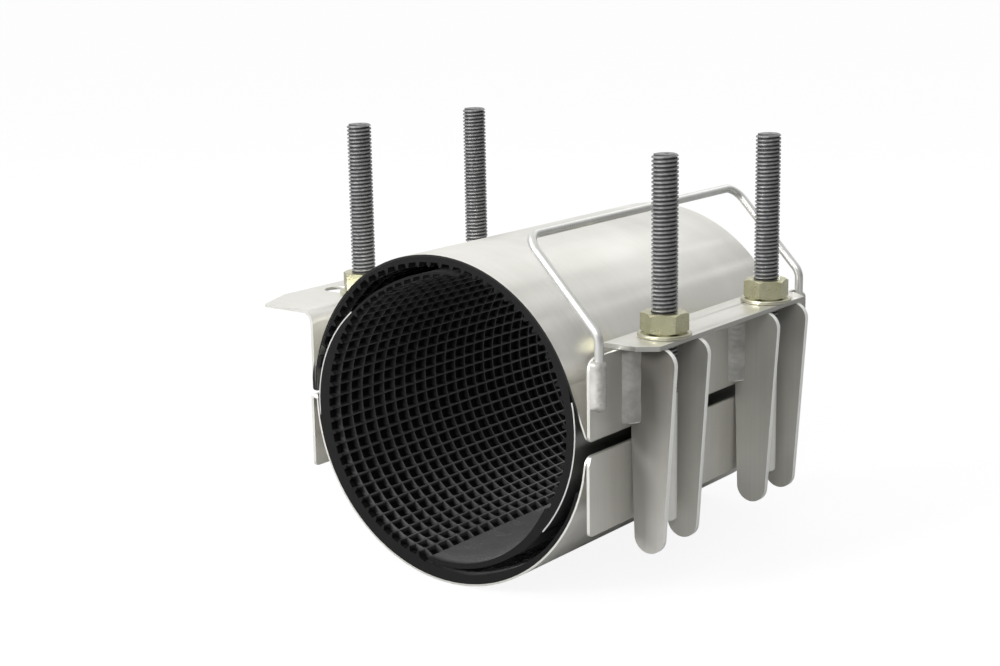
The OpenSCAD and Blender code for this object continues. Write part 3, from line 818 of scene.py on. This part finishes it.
class COUPLING_OT_welds(bpy.types.Operator):
    """Lay the weld beads on the fingers, the bail and the studs"""
    bl_idname = "coupling.welds"
    bl_label = "Weld beads"

    def execute(self, context):
        look = context.scene.coupling_welds
        self.random = np.random.default_rng(look.seed)
        self.material = weld_metal()
        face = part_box("upper_shell")[1].x / MM
        for place in FINGERS:
            node = "finger_" + place
            side = -1 if place in ("front_outer", "back_inner") else 1
            low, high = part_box(node)
            flat = (low.y if side > 0 else high.y) / MM + side * FINGER_THICKNESS
            self.bead(look, node + "_weld", node, (face, flat), (1, side), *FINGER_WELD)
        for name, y in (("front", -HALF_LENGTH + BAIL_WELD_IN),
                        ("back", HALF_LENGTH - BAIL_WELD_IN)):
            self.heap("bail_" + name + "_weld", "bail_handle", (face, y), *BAIL_WELD)
        left, right = (corner.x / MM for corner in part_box("lower_shell"))
        for place in STUDS:
            node = "stud_" + place
            nut_low, nut_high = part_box("nut_" + place)
            y = (nut_low.y + nut_high.y) / 2 / MM
            lug, out, span = ((right, 1, STUD_WELD_RIGHT) if place.endswith("right")
                              else (left, -1, STUD_WELD_LEFT))
            for name, side in (("front", -1), ("back", 1)):
                self.bead(look, f"{node}_weld_{name}", node, (lug, y + side * STUD_WELD_OUT),
                          (out, side), *STUD_WELD, span)
        return {"FINISHED"}

    def levels(self, span, high):
        """Heights along a bead, how full the bead is at each, from 1 to high, and how far its
        rounded ends are filled."""
        count = int((span[1] - span[0]) / WELD_STEP) + 1
        heights = np.linspace(span[0], span[1], count)
        full = np.interp(heights, np.linspace(span[0], span[1], WELD_DRAWS),
                         self.random.uniform(1.0, high, WELD_DRAWS))
        near = np.minimum(heights - span[0], span[1] - heights)
        ends = np.clip(near / WELD_END, 0.0, 1.0)
        return zip(heights, full, np.sqrt(1.0 - (1.0 - ends) ** 2))

    def bead(self, look, name, node, corner, signs, on_lug, on_plate, span):
        """A flat fillet bead that runs up a corner, with ripples that point down its middle:
        on_lug wide along Y, on_plate high along X."""
        levels = self.levels(span, BEAD_FULL)
        across = np.linspace(0.0, 1.0, BEAD_POINTS)
        flat = np.hypot(1.0 - across, across)
        swell, ripple = look.swell / MM, look.ripple / MM
        rings = []
        for z, size, end in levels:
            rough = self.random.uniform(-BEAD_ROUGH, BEAD_ROUGH, across.size)
            wave = np.sin(2 * math.pi * (z - BEAD_LEAD * np.abs(across - 0.5)) / ripple)
            proud = np.sin(math.pi * across) * (BEAD_CROWN + swell * wave) + rough
            x = size * end * (on_plate * across + proud * (1.0 - across) / flat)
            y = size * end * (on_lug * (1.0 - across) + proud * across / flat)
            x = corner[0] + signs[0] * np.maximum(np.append(-WELD_ROOT, x), -WELD_ROOT)
            y = corner[1] + signs[1] * np.maximum(np.append(-WELD_ROOT, y), -WELD_ROOT)
            rings.append([(*place, z) for place in zip(x, y)])
        self.sweep(name, node, rings)

    def heap(self, name, node, middle, half_width, height, span):
        """A crusty heap of weld on the lug, over the foot of the wire."""
        levels = self.levels(span, HEAP_FULL)
        across = np.linspace(-math.pi / 2, math.pi / 2, HEAP_POINTS)
        foot = np.interp(across, np.linspace(across[0], across[-1], HEAP_FOOT_DRAWS),
                         self.random.uniform(*HEAP_FOOT, HEAP_FOOT_DRAWS))
        rings = []
        for z, size, end in levels:
            level = z + max(0.0, 1.0 - (z - span[0]) / HEAP_FOOT_FADE) * foot
            rough = self.random.uniform(*HEAP_ROUGH, across.size)
            x = height * size * np.cos(across) ** 0.6 + rough
            x = np.maximum(x * (0.35 + 0.65 * end), -WELD_ROOT)
            x[[0, -1]] = -WELD_ROOT
            y = middle[1] + half_width * np.sin(across) * (0.55 + 0.45 * end)
            y = np.clip(y, -HALF_LENGTH, HALF_LENGTH)
            rings.append(list(zip(middle[0] + x, y, level)))
        self.sweep(name, node, rings)

    def sweep(self, name, node, rings):
        """Closed skin over a row of closed rings."""
        around = len(rings[0])
        points = [point for ring in rings for point in ring]
        faces = []
        for i in range(0, len(points) - around, around):
            for j in range(around):
                k = (j + 1) % around
                faces.append((i + j, i + k, i + around + k, i + around + j))
        faces.append(tuple(range(around)))
        faces.append(tuple(range(len(points) - around, len(points))))
        make_piece(name, points, faces, self.material, node, WELD_SMOOTH)


class COUPLING_OT_stage(bpy.types.Operator):
    """Set the floor, the light and the camera"""
    bl_idname = "coupling.stage"
    bl_label = "Stage and camera"

    def execute(self, context):
        self.floor(context.scene)
        self.world(context.scene)
        self.lamps(context.scene)
        self.camera(context.scene)
        context.scene.view_settings.view_transform = "Standard"
        return {"FINISHED"}

    def floor(self, scene):
        """A wide pale floor that keeps the object's shadow."""
        size, height = FLOOR_SIZE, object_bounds()[0].z - FLOOR_DROP
        mesh = bpy.data.meshes.new("floor")
        mesh.from_pydata([(-size, -size, height), (size, -size, height), (size, size, height),
                          (-size, size, height)], [], [(0, 1, 2, 3)])
        floor = bpy.data.objects.new("floor", mesh)
        scene.collection.objects.link(floor)
        material, tree, shader, _ = node_tree("floor_white")
        shader.inputs["Roughness"].default_value = 0.9
        shader.inputs["Specular IOR Level"].default_value = 0.0
        seen = tree.nodes.new("ShaderNodeLightPath").outputs["Is Camera Ray"]
        tree.links.new(mix_colour(tree, seen, FLOOR_TONE, FLOOR_SEEN), shader.inputs["Base Color"])
        glow = tree.nodes.new("ShaderNodeEmission")
        glow.inputs["Strength"].default_value = 1.0
        mix = tree.nodes.new("ShaderNodeMixShader")
        tree.links.new(math_node(tree, "MULTIPLY", seen, FLOOR_GLOW), mix.inputs["Fac"])
        tree.links.new(shader.outputs["BSDF"], mix.inputs[1])
        tree.links.new(glow.outputs["Emission"], mix.inputs[2])
        tree.links.new(mix.outputs["Shader"], tree.nodes["Material Output"].inputs["Surface"])
        mesh.materials.append(material)
        floor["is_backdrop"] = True

    def world(self, scene):
        """Soft surround: bright from above left, dimmer to the lower right, white behind."""
        world = bpy.data.worlds.new("studio")
        scene.world = world
        world.use_nodes = True
        tree = world.node_tree
        background = tree.nodes["Background"]
        background.inputs["Color"].default_value = (1.0, 1.0, 1.0, 1.0)
        turn = tree.nodes.new("ShaderNodeVectorMath")
        turn.operation = "DOT_PRODUCT"
        turn.inputs[1].default_value = Vector(SKY_BRIGHT).normalized()
        direction = tree.nodes.new("ShaderNodeTexCoord").outputs["Generated"]
        tree.links.new(direction, turn.inputs[0])
        level = to_range(tree, turn.outputs["Value"], *SKY_LEVEL, *SKY_TURN)
        seen = tree.nodes.new("ShaderNodeLightPath").outputs["Is Camera Ray"]
        pick = tree.nodes.new("ShaderNodeMix")
        pick.data_type = "FLOAT"
        tree.links.new(seen, pick.inputs[0])
        tree.links.new(level, pick.inputs[2])
        pick.inputs[3].default_value = 1.0
        tree.links.new(pick.outputs[0], background.inputs["Strength"])

    def lamps(self, scene):
        """A key from the upper left, one that looks into the bore, a front fill and a rim."""
        for name, (place, side, power) in LAMPS.items():
            data = bpy.data.lights.new(name, "AREA")
            data.size = side
            data.energy = power
            lamp = bpy.data.objects.new(name, data)
            lamp.location = place
            lamp.rotation_mode = "QUATERNION"
            lamp.rotation_quaternion = (-Vector(place)).to_track_quat("-Z", "Y")
            scene.collection.objects.link(lamp)

    def camera(self, scene):
        """The camera of the photograph."""
        look = scene.coupling_stage
        data = bpy.data.cameras.new("camera")
        data.sensor_width = SENSOR
        data.lens = look.focal * SENSOR / PICTURE
        data.clip_end = 100.0
        camera = bpy.data.objects.new("camera", data)
        forward = Vector((-math.sin(look.yaw) * math.cos(look.pitch),
                          math.cos(look.yaw) * math.cos(look.pitch), -math.sin(look.pitch)))
        level = Vector((math.cos(look.yaw), math.sin(look.yaw), 0.0))
        upright = level.cross(forward)
        right = level * math.cos(look.roll) + upright * math.sin(look.roll)
        up = upright * math.cos(look.roll) - level * math.sin(look.roll)
        turn = Matrix((right, up, -forward)).transposed().to_4x4()
        camera.matrix_world = Matrix.Translation(look.place) @ turn
        scene.collection.objects.link(camera)
        scene.camera = camera


class COUPLING_PT_panel(bpy.types.Panel):
    """Lists the coupling's settings and makers"""
    bl_label = "Pipe repair coupling"
    bl_idname = "COUPLING_PT_panel"
    bl_space_type = "VIEW_3D"
    bl_region_type = "UI"
    bl_category = "Coupling"

    def draw(self, context):
        layout = self.layout
        for maker, name in STEPS.items():
            layout.operator(maker.bl_idname)
            if name:
                settings = getattr(context.scene, name)
                for prop in settings.__annotations__:
                    layout.prop(settings, prop)


GROUPS = {
    "coupling_shells": ShellSettings,
    "coupling_gaskets": GasketSettings,
    "coupling_hardware": HardwareSettings,
    "coupling_welds": WeldSettings,
    "coupling_stage": StageSettings,
}
# Makers in the order in which they run, each with the settings that the panel lists under it
STEPS = {
    COUPLING_OT_shells: "coupling_shells",
    COUPLING_OT_gaskets: "coupling_gaskets",
    COUPLING_OT_studs: "coupling_hardware",
    COUPLING_OT_nuts: None,
    COUPLING_OT_plates: None,
    COUPLING_OT_bail: None,
    COUPLING_OT_welds: "coupling_welds",
    COUPLING_OT_stage: "coupling_stage",
}
CLASSES = (*GROUPS.values(), *STEPS, COUPLING_PT_panel)


def register():
    for item in CLASSES:
        bpy.utils.register_class(item)
    for name, group in GROUPS.items():
        setattr(bpy.types.Scene, name, PointerProperty(type=group))


def unregister():
    for name in GROUPS:
        delattr(bpy.types.Scene, name)
    for item in reversed(CLASSES):
        bpy.utils.unregister_class(item)


def main():
    register()
    for maker in STEPS:
        category, name = maker.bl_idname.split(".")
        getattr(getattr(bpy.ops, category), name)()


if __name__ == "__main__":
    main()
